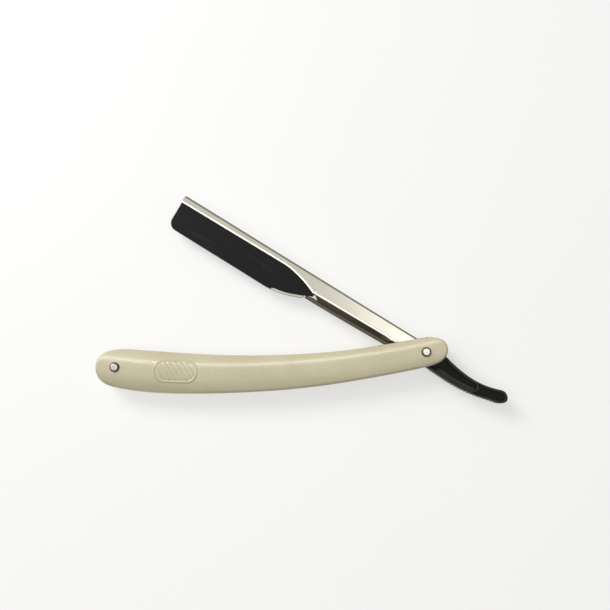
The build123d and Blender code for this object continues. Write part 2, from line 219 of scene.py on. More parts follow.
def plate(outline, stations, across, front, back):
    """A closed plate with two shaped faces, on an outline given as a dense loop of points.

    At each station the plate runs from the outline's lower to its upper side, with points crowded
    towards both by a cosine. Each face's height is a function of place and distance to the outline.
    """
    first, last = outline[:, 0].argmin(), outline[:, 0].argmax()
    turned = np.roll(outline, -first, axis=0)
    turn = (last - first) % len(outline)
    one, other = turned[: turn + 1], np.vstack([turned[turn:], turned[:1]])[::-1]
    lower, upper = sorted((one, other), key=lambda side: side[:, 1].mean())
    share = (1 - np.cos(np.pi * np.linspace(0, 1, across))) / 2
    low = np.interp(stations, lower[:, 0], lower[:, 1])[:, None]
    high = np.interp(stations, upper[:, 0], upper[:, 1])[:, None]
    y = low + (high - low) * share
    x = np.broadcast_to(stations[:, None], y.shape)
    edge = far_from(outline, x, y)
    edge[:, [0, -1]] = 0
    edge[[0, -1]] = 0
    top = np.stack([x, y, front(x, y, edge)], axis=-1)
    bottom = np.stack([x, y, back(x, y, edge)], axis=-1)
    return np.concatenate([top, bottom[:, ::-1]], axis=1)


# %% [markdown]
# ## Shader maths that reads like maths
#
# A material is a web of nodes, which is hard to read as code. One small class wraps a socket and
# overloads the arithmetic operators, so an expression such as `1 - wear * 0.4` adds its own Math
# nodes. Colours are mixed by Mix nodes, and every other node comes from one method.


# %% Helpers for materials
class Signal:
    """One socket in a material. Arithmetic on it adds Math nodes."""

    def __init__(self, finish, socket):
        self.finish, self.socket = finish, socket

    def maths(self, operation, first, second=0.0):
        return self.finish.node("ShaderNodeMath", {"operation": operation}, {0: first, 1: second})

    def __add__(self, other):
        return self.maths("ADD", self, other)

    def __radd__(self, other):
        return self.maths("ADD", other, self)

    def __sub__(self, other):
        return self.maths("SUBTRACT", self, other)

    def __rsub__(self, other):
        return self.maths("SUBTRACT", other, self)

    def __mul__(self, other):
        return self.maths("MULTIPLY", self, other)

    def __rmul__(self, other):
        return self.maths("MULTIPLY", other, self)

    def __gt__(self, other):
        return self.maths("GREATER_THAN", self, other)

    def __pow__(self, other):
        return self.maths("POWER", self, other)


class Web:
    """A web of nodes, built up one node at a time."""

    def __init__(self, tree):
        self.tree = tree

    def node(self, kind, settings=None, inputs=None, output=0):
        """Adds a node, sets it, joins its inputs, and gives back one of its outputs."""
        node = self.tree.nodes.new(kind)
        for key, value in (settings or {}).items():
            setattr(node, key, value)
        for key, value in (inputs or {}).items():
            if isinstance(value, Signal):
                self.tree.links.new(value.socket, node.inputs[key])
            else:
                node.inputs[key].default_value = value
        return Signal(self, node.outputs[output])

    def between(self, value, low, high, out_low=0.0, out_high=1.0):
        """The value mapped smoothly from one range to another."""
        ends = {0: value, 1: low, 2: high, 3: out_low, 4: out_high}
        return self.node("ShaderNodeMapRange", {"interpolation_type": "SMOOTHSTEP"}, ends)


class Finish(Web):
    """A Principled material."""

    def __init__(self, name, **constants):
        self.material = bpy.data.materials.new(name)
        self.material.use_nodes = True
        super().__init__(self.material.node_tree)
        self.shader = next(node for node in self.tree.nodes if node.type == "BSDF_PRINCIPLED")
        for socket, value in constants.items():
            self.shader.inputs[socket.replace("_", " ")].default_value = value

    def place(self, turn=0.0, stretch=(1, 1, 1)):
        """Object coordinates in millimetres, turned about the vertical and stretched."""
        here = self.node("ShaderNodeTexCoord", output="Object")
        scale = tuple(size / MM for size in stretch)
        about_z = {"rotation_type": "Z_AXIS"}
        turned = self.node("ShaderNodeVectorRotate", about_z, {"Vector": here, "Angle": turn})
        return self.node("ShaderNodeVectorMath", {"operation": "MULTIPLY"}, {0: turned, 1: scale})

    def noise(self, place, scale, detail=3.0, roughness=0.5):
        """Smooth noise from 0 to 1, with this many waves to a millimetre."""
        sizes = {"Vector": place, "Scale": scale, "Detail": detail, "Roughness": roughness}
        return self.node("ShaderNodeTexNoise", {}, sizes)

    def mix(self, share, first, second):
        """Two colours mixed by a share."""
        colours = {0: share, 6: first, 7: second}
        return self.node("ShaderNodeMix", {"data_type": "RGBA"}, colours, output=2)

    def along(self, place, direction):
        """How far a place lies along a direction: their dot product."""
        both = {0: place, 1: tuple(direction)}
        return self.node("ShaderNodeVectorMath", {"operation": "DOT_PRODUCT"}, both, output=1)

    def feed(self, socket, value):
        self.tree.links.new(value.socket, self.shader.inputs[socket])

    def bump(self, height, strength, distance):
        """Relief from a height, as a normal."""
        sizes = {"Height": height, "Strength": strength, "Distance": distance * MM}
        self.feed("Normal", self.node("ShaderNodeBump", {}, sizes))


def paint(piece, finish):
    piece.data.materials.clear()
    piece.data.materials.append(finish.material)


# %% [markdown]
# ## Camera, table and light
#
# The razor lies on a pale table and is seen from almost straight above, a little from the front.
# Polished steel shows whatever hangs over it, so the room itself is graded. Straight overhead it
# is grey, and brighter towards the pivot's side, which the flat steel repeats. Round that lies a
# bright ring that whitens the table and the bevels, and the horizon is dark, which draws a line
# along the folds and hems. The sides that the spine and the hems face are left unlit too. A long
# narrow panel lies level with the arm and draws the bright line along its crease, and a panel in
# the back corner gives the soft shadow its direction. The table is a sheet of opal plastic lit from
# below, which keeps that shadow faint.

# %% Camera and light
low, high = (np.array(corner) / MM for corner in cad_bounds)
AIM = (low + high) / 2 + np.array([2.8, -2.0, 0.0])
ELEVATION = 83.0
TURN = 2.79
DISTANCE = 330.0
FIELD_WIDTH = 259.7  # seen across the picture at the aim


def sphere_point(azimuth, elevation, distance):
    """A point this far off in this direction; azimuth 0 is in front, at -Y."""
    a, e = math.radians(azimuth), math.radians(elevation)
    return np.array([math.sin(a) * math.cos(e), -math.cos(a) * math.cos(e), math.sin(e)]) * distance


def look(thing, place, at, roll_up=(0, 1, 0)):
    """Puts a thing at a place, with its -Z towards a point and its top towards roll_up."""
    back = np.asarray(place, float) - np.asarray(at, float)
    back /= np.linalg.norm(back)
    right = np.cross(roll_up, back)
    right /= np.linalg.norm(right)
    top = np.cross(back, right)
    turned = np.eye(4)
    turned[:3] = np.column_stack([right, top, back, np.asarray(place) * MM])
    thing.matrix_world = Matrix(turned.tolist())


def link(thing):
    bpy.context.scene.collection.objects.link(thing)
    return thing


def panel(name, place, size, power, roll_up=(0, 1, 0)):
    """A soft light panel facing the razor, its width (the first size) lying square to roll_up."""
    light = bpy.data.lights.new(name, "AREA")
    light.shape = "RECTANGLE"
    light.size, light.size_y = size[0] * MM, size[1] * MM
    light.energy = power
    lamp = link(bpy.data.objects.new(name, light))
    look(lamp, place, AIM, roll_up)
    return lamp


camera = bpy.data.cameras.new("camera")
camera.angle = 2 * math.atan(FIELD_WIDTH / 2 / DISTANCE)
camera.clip_start = 0.01
eye = link(bpy.data.objects.new("camera", camera))
turn = math.radians(TURN)
look(eye, AIM + sphere_point(-TURN, ELEVATION, DISTANCE), AIM, (math.sin(turn), math.cos(turn), 0))
bpy.context.scene.camera = eye

panel("edge_panel", AIM + np.array([-238, -156, 700]), (460, 90), 0.15, -EDGEWARD)
panel("corner_panel", AIM + np.array([-520, 560, 620]), (500, 400), 4.9)

world = bpy.data.worlds.new("studio")
world.use_nodes = True
dome = Web(world.node_tree)
heading = {0: dome.node("ShaderNodeTexCoord", output="Generated")}
rightward, backward, upward = (
    dome.node("ShaderNodeSeparateXYZ", {}, heading, output=axis) for axis in range(3)
)
overhead = dome.between(rightward, 0.02, 0.14, 0.7, 1.4)
ring = dome.between(upward, 0.84, 0.93, 1.0, 0.0)
bright = dome.between(backward, -0.6, 0.6, 0.4, 2.15)
spineward = rightward * -float(EDGEWARD[0]) + backward * -float(EDGEWARD[1])
unlit_by_spine = dome.between(spineward, 0.16, 0.28, 1.0, 0.12)
unlit_by_hems = dome.between(spineward, -0.8, -0.6, 0.1, 1.0)
horizon = dome.between(upward, 0.2, 0.55, 0.12, 1.0)
glow = (overhead * (1 - ring) + bright * ring) * unlit_by_spine * unlit_by_hems * horizon
background = world.node_tree.nodes["Background"].inputs
background["Color"].default_value = (1.0, 0.985, 0.95, 1)
world.node_tree.links.new(glow.socket, background["Strength"])
bpy.context.scene.world = world
bpy.context.scene.view_settings.view_transform = "Standard"

# %% The table
TABLE_HALF = 1500.0
TABLE_TOP = -0.05
table = bpy.data.meshes.new("table")
square = [(-1, -1), (1, -1), (1, 1), (-1, 1)]
table_corners = [(x * TABLE_HALF * MM, y * TABLE_HALF * MM, TABLE_TOP * MM) for x, y in square]
table.from_pydata(table_corners, [], [(0, 1, 2, 3)])
table_top = link(bpy.data.objects.new("table", table))
pale = Finish("pale_table", Roughness=0.6, Emission_Color=(1, 1, 1, 1), Emission_Strength=0.52)
cloud = pale.noise(pale.place(), 0.01, 2.0)
pale.feed("Base Color", pale.mix(cloud, (0.46, 0.46, 0.46, 1), (0.48, 0.48, 0.475, 1)))
paint(table_top, pale)

# %% [markdown]
# ## Bone-coloured handle plastic
#
# The scales are moulded in a warm bone colour with a satin gloss. The moulding leaves faint clouds,
# a few dark specks in the melt and a very fine ripple, and handling adds small scratches that show
# only in the highlight. Noise at three sizes gives each of them, and cells that are kept only where
# their own random value is high give the specks.


# %% Handle plastic
def bone_plastic():
    bone = Finish("bone_plastic", Roughness=0.3, IOR=1.49)
    here = bone.place()
    clouds = bone.noise(here, 0.06, 4.0)
    cloudy = bone.between(clouds, 0.35, 0.65)
    body = bone.mix(cloudy, (0.485, 0.443, 0.302, 1), (0.515, 0.472, 0.327, 1))
    cells = {"Vector": here, "Scale": 0.32}
    speck = bone.node("ShaderNodeTexVoronoi", {"voronoi_dimensions": "3D"}, cells)
    chosen = bone.node("ShaderNodeTexVoronoi", {}, cells, output=1)
    lucky = bone.node("ShaderNodeSeparateColor", {}, {0: chosen})
    dot = bone.between(speck, 0.05, 0.11, 1.0, 0.0) * (lucky > 0.4) * 0.65
    bone.feed("Base Color", bone.mix(dot, body, (0.2, 0.16, 0.09, 1)))
    scratches = bone.noise(bone.place(0.3, (0.15, 2.5, 1)), 1.2, 4.0)
    bone.feed("Roughness", bone.between(scratches, 0.3, 0.75, 0.2, 0.3))
    ripple = bone.noise(here, 0.35, 2.0) + bone.noise(here, 4.0, 3.0) * 0.12
    bone.bump(ripple, 0.12, 0.12)
    return bone


BONE = bone_plastic()

# %% [markdown]
# ## The two scales
#
# A scale is flat inside, crowned outside, and rounded at its rim. Its outline is read off the
# packed scale's flat face and drawn through with a smooth closed curve. The crown is the top of a
# bent round bar, so its height falls along a circle on either side of the bar's middle line. Near
# the rim the surface turns down by a quarter circle of the distance to the outline. Where the crown
# has left less height than that, the quarter circle is flattened, so a thin lip always remains.

# %% Scale sizes
CROWN_RADIUS = 15.0
RIM_ROUND = 1.0
RIM_LIP = 0.15
scale_low, scale_high = reach("front_scale", UP)
SCALE_THICKNESS = scale_high - scale_low
INNER_EASE = 0.12
HANDLE_DIP = 5.3
END_RUN = 6.0
STATION_STEP = 0.45
BADGE_FROM_TAIL = 25.0
BADGE_ABOVE_MIDDLE = 0.4
BADGE_SLOPE = -0.09
BADGE_SIZE = (18.5, 9.6)
BADGE_RISE = 0.24
BORDER_HALF = 0.42
STRIPE_PITCH = 2.3
STRIPE_SLANT = 0.75


def rim_of(node, height):
    """The outline of a part's flat face: its points there, in order round their middle."""
    points = corners(node)
    flat = points[np.abs(points[:, 2] - height) < 0.01, :2]
    clear = np.minimum(np.hypot(*flat.T), np.hypot(flat[:, 0] - tail_x, flat[:, 1])) > 3
    flat = np.unique(np.round(flat[clear], 4), axis=0)
    centre = flat.mean(axis=0)
    order = np.argsort(np.arctan2(*(flat - centre).T))
    return flat[order]


def middle_line(x):
    """The dip of the handle's middle line: an arc through both rivets."""
    radius = tail_x**2 / (8 * HANDLE_DIP) + HANDLE_DIP / 2
    return radius - HANDLE_DIP - np.sqrt(radius**2 - (x - tail_x / 2) ** 2)


def badge(x, y):
    """A plain raised badge: a capsule outline round slanted stripes, 0 to 1."""
    centre_x = tail_x + BADGE_FROM_TAIL
    across = y - middle_line(centre_x) - BADGE_ABOVE_MIDDLE - (x - centre_x) * BADGE_SLOPE
    along = (x - centre_x) + across * BADGE_SLOPE
    half = BADGE_SIZE[1] / 2
    edge = np.hypot(np.maximum(np.abs(along) - BADGE_SIZE[0] / 2 + half, 0), across) - half
    border = ramp(BORDER_HALF - np.abs(edge + BORDER_HALF), 0, 0.2)
    phase = (along + across * STRIPE_SLANT) / STRIPE_PITCH
    wave = np.abs(phase % 1 - 0.5) * STRIPE_PITCH
    stripes = ramp(wave, 0.5, 0.72) * ramp(-edge, 1.25, 1.45)
    return np.maximum(border, stripes)


def scale_shell(name, node, outward):
    """A scale as a plate: flat on the slot's side, crowned and rounded on the other."""
    node_low, node_high = reach(node, UP)
    inner = node_low if outward > 0 else node_high
    rim = smooth_loop(rim_of(node, inner), 900)

    def outer_face(x, y, edge):
        bulge = np.sqrt(CROWN_RADIUS**2 - (y - middle_line(x)) ** 2) - CROWN_RADIUS
        turned = 1 - np.minimum(edge, RIM_ROUND) / RIM_ROUND
        room = np.clip(SCALE_THICKNESS + bulge - RIM_LIP, 0, RIM_ROUND)
        drop = room * (1 - np.sqrt(1 - turned**2))
        relief = BADGE_RISE * badge(x, y) if outward > 0 else 0
        return inner + outward * (SCALE_THICKNESS + bulge - drop + relief)

    def inner_face(x, y, edge):
        return np.full(x.shape, inner) + outward * INNER_EASE * ramp(-edge, -RIM_LIP, 0)

    first, last = rim[:, 0].min(), rim[:, 0].max()
    tail = first + END_RUN * (1 - np.cos(np.linspace(0, np.pi / 2, 40)))
    nose = last - END_RUN * (1 - np.cos(np.linspace(np.pi / 2, 0, 40)))
    fine, across = (0.11, 110) if outward > 0 else (0.4, 70)
    badge_span = tail_x + BADGE_FROM_TAIL + np.array([-1, 1]) * (BADGE_SIZE[0] / 2 + 1)
    near_badge = np.arange(*badge_span, fine)
    long_run = np.arange(first + END_RUN, last - END_RUN, STATION_STEP)
    long_run = long_run[(long_run < badge_span[0]) | (long_run > badge_span[1])]
    stations = np.unique(np.concatenate([tail, nose, near_badge, long_run]))
    piece = skin(name, [plate(rim, stations, across, outer_face, inner_face)], False, 50)
    paint(piece, BONE)
    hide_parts(node)
    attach(piece, "handle")
    return piece


# %% Make the scales
front_shell = scale_shell("front_scale_shell", "front_scale", 1)
back_shell = scale_shell("back_scale_shell", "back_scale", -1)
paint(frame["nodes"]["tail_spacer"], BONE)

# %% [markdown]
# A narrow strip light is set for the scales alone. It draws the bright line along their crown, and
# the polished arm doesn't show it.

# %% Light the crowns
crown_strip = panel("crown_strip", AIM + np.array([-100, 395, 700]), (620, 45), 2.2)
crowned = bpy.data.collections.new("crowned_scales")
for shell in (front_shell, back_shell):
    crowned.objects.link(shell)
crown_strip.light_linking.receiver_collection = crowned

# %% [markdown]
# ## Polished sheet steel
#
# The arm is stainless sheet, polished along its length before it was folded. So the scratches run
# along the arm: noise stretched nearly fifty times in that direction, which drives the roughness
# and a very fine relief. Fingers leave faint cloudy patches, which is a slow noise on both the
# colour and the roughness. Below the crease, and down the collars' sides, a mask makes the metal
# duller and paints it darker there: painted dark reflection.


# %% Steel and nickel
def polished_steel(name, colour, smooth, rough, grain, dull_and_painted_dark=None):
    """Metal with scratches along the arm. Its last argument masks where it is duller and painted
    dark.
    """
    steel = Finish(name, Base_Color=colour, Metallic=1.0, Roughness=smooth)
    heading = -math.atan2(ALONG[1], ALONG[0])
    brushed = steel.noise(steel.place(heading, (0.05, 2.4, 2.4)), 2.2, 4.0, 0.6)
    smudges = steel.between(steel.noise(steel.place(), 0.09, 3.0), 0.4, 0.7)
    tint = steel.mix(smudges * 0.35, colour, tuple(0.93 * part for part in colour[:3]) + (1,))
    shine = smooth + brushed * (rough - smooth) + smudges * 0.05
    if dull_and_painted_dark:
        # Where the mask is, the metal is rougher and painted darker: painted dark reflection.
        mask = dull_and_painted_dark(steel)
        tint = steel.mix(mask, tint, (0.2, 0.175, 0.13, 1))
        shine = shine + mask * 0.2
    steel.feed("Base Color", tint)
    steel.feed("Roughness", shine)
    steel.bump(brushed, grain, 0.02)
    return steel


def below_crease(steel):
    """Where the sheet is turned in: past a line just under the crease, or at the hems' front."""
    # The steel is painted dark where this mask is: painted dark reflection.
    here = steel.place()
    along, drop = steel.along(here, ALONG), steel.along(here, EDGEWARD)
    past = drop - (along * CREASE_SLOPE + (spine + CREASE_REAR + CREASE_LIP))
    behind = steel.between(along, hem_start - 0.2, hem_start + 0.3, 1.0, 0.0)
    ahead = steel.between(along, hem_start - 1.6, hem_start - 1.0)
    turned_in = steel.between(past, 0.0, 0.15) * behind
    hem_root = steel.between(drop, spine + HEM_ROOT, spine + HEM_ROOT + 0.2) * ahead
    return turned_in.maths("MAXIMUM", turned_in, hem_root)


def round_the_pins(steel):
    """Where a collar's side gets painted dark reflection: off a rivet's axis by more than the flat
    lip.
    """
    here = {0: steel.place()}
    x, y = (steel.node("ShaderNodeSeparateXYZ", {}, here, output=axis) for axis in range(2))
    off_pivot = (x * x + y * y) ** 0.5
    off_tail = ((x - tail_x) * (x - tail_x) + y * y) ** 0.5
    nearer = x.maths("MINIMUM", off_pivot, off_tail)
    return steel.between(nearer, LIP_RADIUS - 0.08, LIP_RADIUS + 0.08)


CREASE_REAR = 6.1
CREASE_SLOPE = 0.0141
CREASE_LIP = 0.33
HEM_SETBACK = 0.4
HEM_ROOT = 7.0
LIP_RADIUS = 1.33
hem_start = heel - HEM_SETBACK
ARM_STEEL = polished_steel("arm_steel", (0.83, 0.81, 0.71, 1), 0.08, 0.15, 0.05, below_crease)
NICKEL = polished_steel("rivet_nickel", (0.86, 0.84, 0.8, 1), 0.12, 0.24, 0.1, round_the_pins)

# %% [markdown]
# ## The folded arm
#
# One strip of sheet is folded along the spine. Over the holder its two walls end in a cut edge with
# a polished bevel. Behind the flare the walls turn inwards at a crease and roll up into two hems
# that lie side by side. Both stretches are a closed outline of the sheet, worked out at every
# station along the arm, so the flare is only the height of the lower edge changing with place.

# %% Arm sizes
SHEET = 0.6
HALF = (arm_high - arm_low) / 2
FOLD = 1.0
BEVEL_WIDTH = 0.78
BEVEL_DEPTH = 0.2
STRIP_AT_TIP = 3.55
STRIP_AT_FLARE = 3.05
FLARE_RUN = 17.6
FLARE_DROP = 7.5
CREASE_FRONT = 6.9
HEM_RADIUS = 0.85
HEM_SLANT = 4.6
HEM_LEAD = 2.7
HEM_LEAD_RADIUS = 0.5
HEM_BOTTOM_REAR = 8.55
SEAM = 0.06
CREASE_TURN = (0.15, 0.18)
CREASE_LEAD = 0.6
GROOVE_SHARE = 1.75
GROOVE_HALF = 1.05
GROOVE_INSIDE = 0.5
TIP_CORNER = (1.0, 1.6)
TIP_BOW = 0.25
TIP_RUN = 3.0
HEM_RUN = 8.0


def lower_edge(x):
    """The walls' lower edge: level over the holder, down the flare, and back to the crease."""
    forward = (x - heel - FLARE_RUN) / (arm_tip - heel - FLARE_RUN)
    strip = STRIP_AT_FLARE + (STRIP_AT_TIP - STRIP_AT_FLARE) * forward
    share = np.clip((heel + FLARE_RUN - x) / FLARE_RUN, 0, 1)
    flare = STRIP_AT_FLARE + (FLARE_DROP - STRIP_AT_FLARE) * (0.52 * share**2 + 0.48 * share**1.5)
    behind = FLARE_DROP + (CREASE_FRONT - FLARE_DROP) * np.clip((heel - x) / HEM_SETBACK, 0, 1)
    return spine + np.where(x > heel + FLARE_RUN, strip, np.where(x > heel, flare, behind))


def tip_shape(y):
    """How far the sheet's end stands back: a round corner at the spine, then a slight curve."""
    above = np.clip((spine + TIP_CORNER[1] - y) / TIP_CORNER[1], 0, 1)
    corner = TIP_CORNER[0] * (1 - np.sqrt(1 - above**2))
    share = (y - spine) / STRIP_AT_TIP
    return corner + TIP_BOW * (2 * share - 0.9) ** 2


def carry(outlines, stations, bend=None):
    """Closed cross-sections carried along the arm. bend shifts their points along it."""
    y, z = outlines[..., 0], outlines[..., 1]
    x = np.broadcast_to(stations[:, None], y.shape)
    if bend is not None:
        x = x - bend(x, y)
    return to_row(x, y, z + middle)


def wall_outlines(stations):
    """The sheet over the holder: down the outside, round the cut edge, and back up inside."""
    edge = lower_edge(stations)
    slope = np.gradient(edge, stations)
    bevel = edge - BEVEL_WIDTH * np.sqrt(1 + slope**2)
    inside = HALF - SHEET
    flat = np.full(edge.shape, spine)
    roof = flat + SHEET
    z = np.ones(edge.shape)
    points = [
        (edge, z * inside),
        (edge, z * (HALF - BEVEL_DEPTH)),
        (bevel, z * HALF),
        (flat, z * HALF),
        (flat, -z * HALF),
        (bevel, -z * HALF),
        (edge, -z * (HALF - BEVEL_DEPTH)),
        (edge, -z * inside),
        (roof, -z * inside),
        (roof, z * inside),
    ]
    outline = np.stack([np.stack(point, axis=-1) for point in points], axis=1)
    inner = FOLD - SHEET
    return soften(outline, [0.05, 0.08, 0.16, FOLD, FOLD, 0.16, 0.08, 0.05, inner, inner], 6)


def shank_lines(stations):
    """Depth of the crease and of the hems' bottom at each station: gentle tapers to the rear."""
    share = (stations - sleeve_end) / (hem_start - sleeve_end)
    crease = CREASE_REAR + (CREASE_FRONT - CREASE_REAR) * share**1.6
    deepest = hem_bottom - spine
    bottom = deepest - (deepest - HEM_BOTTOM_REAR) * (1 - share) ** 1.5
    return spine + crease, spine + bottom


def shank_outlines(stations):
    """The sheet along the shank: the spine, two walls, and their inward bevels below the crease."""
    crease, bottom = shank_lines(stations)
    ones = np.ones(stations.shape)
    inside = HALF - SHEET
    groove = bottom - GROOVE_SHARE * HEM_RADIUS

    def corner(y, z):
        return np.stack([y * ones, z * ones], axis=-1)

    turned_in = corner(crease + CREASE_TURN[0], HALF - CREASE_TURN[1])
    outer = [corner(groove, GROOVE_HALF), turned_in]
    outer += [corner(crease - CREASE_LEAD, HALF), corner(spine, HALF)]
    inner = [corner(groove, GROOVE_INSIDE), corner(crease, inside), corner(spine + SHEET, inside)]
    mirrored = np.array([1, -1])
    loop = outer + [point * mirrored for point in outer[::-1]]
    loop += [point * mirrored for point in inner] + inner[::-1]
    radii = [0.1, 0.08, 0.15, FOLD, FOLD, 0.15, 0.08, 0.1, 0.1, 0.2, 0.4, 0.4, 0.2, 0.1]
    return soften(np.stack(loop, axis=1), radii, 6)


def hem_bead(stations, side):
    """One rolled hem: a round bead that thins out ahead of the bevels, its bottom line kept."""
    bottom = shank_lines(np.minimum(stations, hem_start))[1]
    thin = np.clip((stations - hem_start) / (HEM_LEAD + HEM_SETBACK), 0, 1)
    radius = HEM_RADIUS + (HEM_LEAD_RADIUS - HEM_RADIUS) * thin
    turn = np.linspace(0, 2 * np.pi, 40, endpoint=False)
    y = (bottom - radius)[:, None] + radius[:, None] * np.cos(turn)
    z = side * (HEM_RADIUS + SEAM / 2) + side * radius[:, None] * np.sin(turn)
    return np.stack([y, z], axis=-1)


# %% Make the folded arm
wall_stations = np.concatenate(
    [
        np.linspace(hem_start, heel, 8)[:-1],
        np.linspace(heel, heel + FLARE_RUN, 60)[:-1],
        np.linspace(heel + FLARE_RUN, arm_tip - TIP_RUN, 40)[:-1],
        np.linspace(arm_tip - TIP_RUN, arm_tip, 12),
    ]
)


def tip_bend(x, y):
    return tip_shape(y) * ramp(x, arm_tip - TIP_RUN, arm_tip)


def bevel_bend(x, y):
    """The bevels start on a slant: their front end stands further back the lower it is."""
    below = np.clip((y - spine - CREASE_FRONT) / (hem_bottom - spine - CREASE_FRONT), 0, 1)
    return HEM_SLANT * below * ramp(x, hem_start - HEM_RUN, hem_start)


walls = carry(wall_outlines(wall_stations), wall_stations, tip_bend)
shank_run = np.linspace(sleeve_end, hem_start - HEM_RUN, 50)[:-1]
shank_stations = np.concatenate([shank_run, np.linspace(hem_start - HEM_RUN, hem_start, 20)])
shank = carry(shank_outlines(shank_stations), shank_stations, bevel_bend)
bead_run = np.linspace(sleeve_end, hem_start, 60)[:-1]
bead_stations = np.concatenate([bead_run, np.linspace(hem_start, heel + HEM_LEAD, 10)])
beads = [carry(hem_bead(bead_stations, side), bead_stations) for side in (1, -1)]
folded_arm = skin("folded_steel_arm", [walls, shank] + beads)
paint(folded_arm, ARM_STEEL)
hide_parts("steel_arm")
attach(folded_arm, "arm")

# %% [markdown]
# ## Two black plastics
#
# The holder is a thin moulding with a dull face. Its mould was milled lengthwise, and the plastic
# keeps those fine lines, so its relief is a noise stretched along the arm. Sliding in and out of
# the steel leaves faint pale rubbing marks in the same direction. The tang is the same kind of
# plastic with a shine, and its raised lines are painted pale as painted highlights.


# %% Black plastics
def black_plastic(name, colour, shine, smooth, rough, line_relief, grain_relief, painted_light_attribute, painted_light_colour):
    """A black moulding. Where the named attribute marks it, the last colour is painted on as painted
    light.
    """
    black = Finish(name, Roughness=rough, IOR=1.5, Specular_IOR_Level=shine)
    heading = -math.atan2(ALONG[1], ALONG[0])
    lines = black.noise(black.place(heading, (0.04, 1.8, 1.8)), 2.0, 3.0)
    grain = black.noise(black.place(), 3.0, 2.0)
    rubbed = black.between(black.noise(black.place(heading, (0.06, 0.6, 1)), 1.0, 4.0), 0.52, 0.8)
    paler = tuple(2.1 * part + 0.006 for part in colour[:3]) + (1,)
    body = black.mix(rubbed * 0.6, colour, paler)
    dull = rough - rubbed * (rough - smooth) - lines * 0.06
    # A pale colour painted where the attribute marks: a painted highlight on the tang, a painted
    # reflection on the holder's facet.
    bare = black.node("ShaderNodeAttribute", {"attribute_name": painted_light_attribute}, output=2)
    body = black.mix(bare, body, painted_light_colour)
    black.feed("Base Color", body)
    black.feed("Roughness", dull)
    black.bump(lines * line_relief + grain * grain_relief, 0.5, 0.04)
    return black


# A pale colour painted on the holder's heel facet: a painted reflection.
PAINTED_REFLECTION_PALE = (0.83, 0.8, 0.7, 1)
# A pale grey painted on the tang's lips, ridges and rim: painted highlights.
PAINTED_HIGHLIGHT_PALE = (0.2, 0.205, 0.17, 1)
DULL_BLACK = (0.013, 0.0125, 0.013, 1)
DEEP_BLACK = (0.002, 0.0022, 0.0016, 1)
HOLDER_BLACK = black_plastic(
    "holder_black", DULL_BLACK, 0.13, 0.34, 0.52, 0.8, 0.25, "painted_reflection_facet", PAINTED_REFLECTION_PALE
)
TANG_BLACK = black_plastic(
    "tang_black", DEEP_BLACK, 0.13, 0.13, 0.24, 0.1, 0.5, "painted_edge_highlight", PAINTED_HIGHLIGHT_PALE
)

# %% [markdown]
# ## The blade holder
#
# Two thin leaves hold the blade between them. Each is as thick as the steel leaves room for at the
# top and tapers to the cutting edge. The rear end slants up to the flare and carries a facet that
# starts square, painted pale as a painted reflection. Inside, a shallow recess leaves the slot for
# the blade. The outline at each station gives all of that, and the tip's lean and long round corner
# shift points along it.

# %% Holder sizes
holder_top = reach("holder_front_leaf", EDGEWARD)[0]
holder_half = reach("holder_front_leaf", UP)[1] - middle
EDGE_HALF = 1.0
HEEL_RUN = 19.3
HEEL_DEPTH = 8.2
HEEL_STEP = 3.4
STEP_TOP = 9.7
STEP_BOTTOM = 10.95
EDGE_FACET = (0.22, 0.16)
HEEL_FACET = (0.8, 0.5)
TIP_LEAN = 0.3
TIP_ROUND = (3.4, 4.0)
BLADE_SLOT = 0.16
BLADE_SLOT_TOP = 1.0
LEAF_GAP = 0.02
HOLDER_TIP_RUN = 9.0
taper_top = spine + STRIP_AT_TIP


def holder_lower(x):
    """The leaf's lower side: straight, a long curve up to the step, then a slant to the end."""
    share = np.clip((heel + HEEL_RUN - x) / (HEEL_RUN - HEEL_STEP), 0, 1)
    rise = holder_edge - spine - STEP_BOTTOM
    curve = holder_edge - rise * (share - 0.62 * np.sin(np.pi * share) / np.pi)
    behind = spine + HEEL_DEPTH + (STEP_TOP - HEEL_DEPTH) * (x - heel) / HEEL_STEP
    return np.where(x > heel + HEEL_STEP, curve, behind)


FACE_SHARES = 1 - (1 - np.linspace(0, 1, 14)[1:-1]) ** 1.5


def leaf_outlines(stations, side):
    """One leaf's section: fold side, outer face, taper, facet at the edge, and blade slot."""
    lower = holder_lower(stations)
    in_heel = ramp(heel + HEEL_RUN - stations, 0, 5) * (stations > heel + HEEL_STEP)
    width, depth = (
        edge + (at_heel - edge) * in_heel for edge, at_heel in zip(EDGE_FACET, HEEL_FACET)
    )
    thinner = (holder_half - EDGE_HALF) / (holder_edge - taper_top)
    ones = np.ones(stations.shape)
    slot_top = np.minimum(BLADE_SLOT_TOP, lower - 1)

    def face(y):
        return holder_half - thinner * np.maximum(y - taper_top, 0)

    bottom, slot = lower - width, BLADE_SLOT / 2 * ones
    steps = [taper_top + (bottom - taper_top) * share for share in FACE_SHARES]
    inside = [slot_top + (lower - slot_top) * share for share in FACE_SHARES[::-1]]
    points = [(holder_top * ones, LEAF_GAP * ones), (holder_top * ones, holder_half * ones)]
    points += [(taper_top * ones, holder_half * ones)] + [(y, face(y)) for y in steps]
    points += [(bottom, face(bottom)), (lower, face(bottom) - depth), (lower, slot)]
    points += [(y, slot) for y in inside] + [(slot_top, slot), (slot_top, LEAF_GAP * ones)]
    outline = np.stack([np.stack(point, axis=-1) for point in points], axis=1)
    few = [0.02] * len(FACE_SHARES)
    radii = [0.1, 0.5, 0.3] + few + [0.1, 0.12, 0.03] + few + [0.03, 0.02]
    return soften(outline, radii, 4) * np.array([1, side])


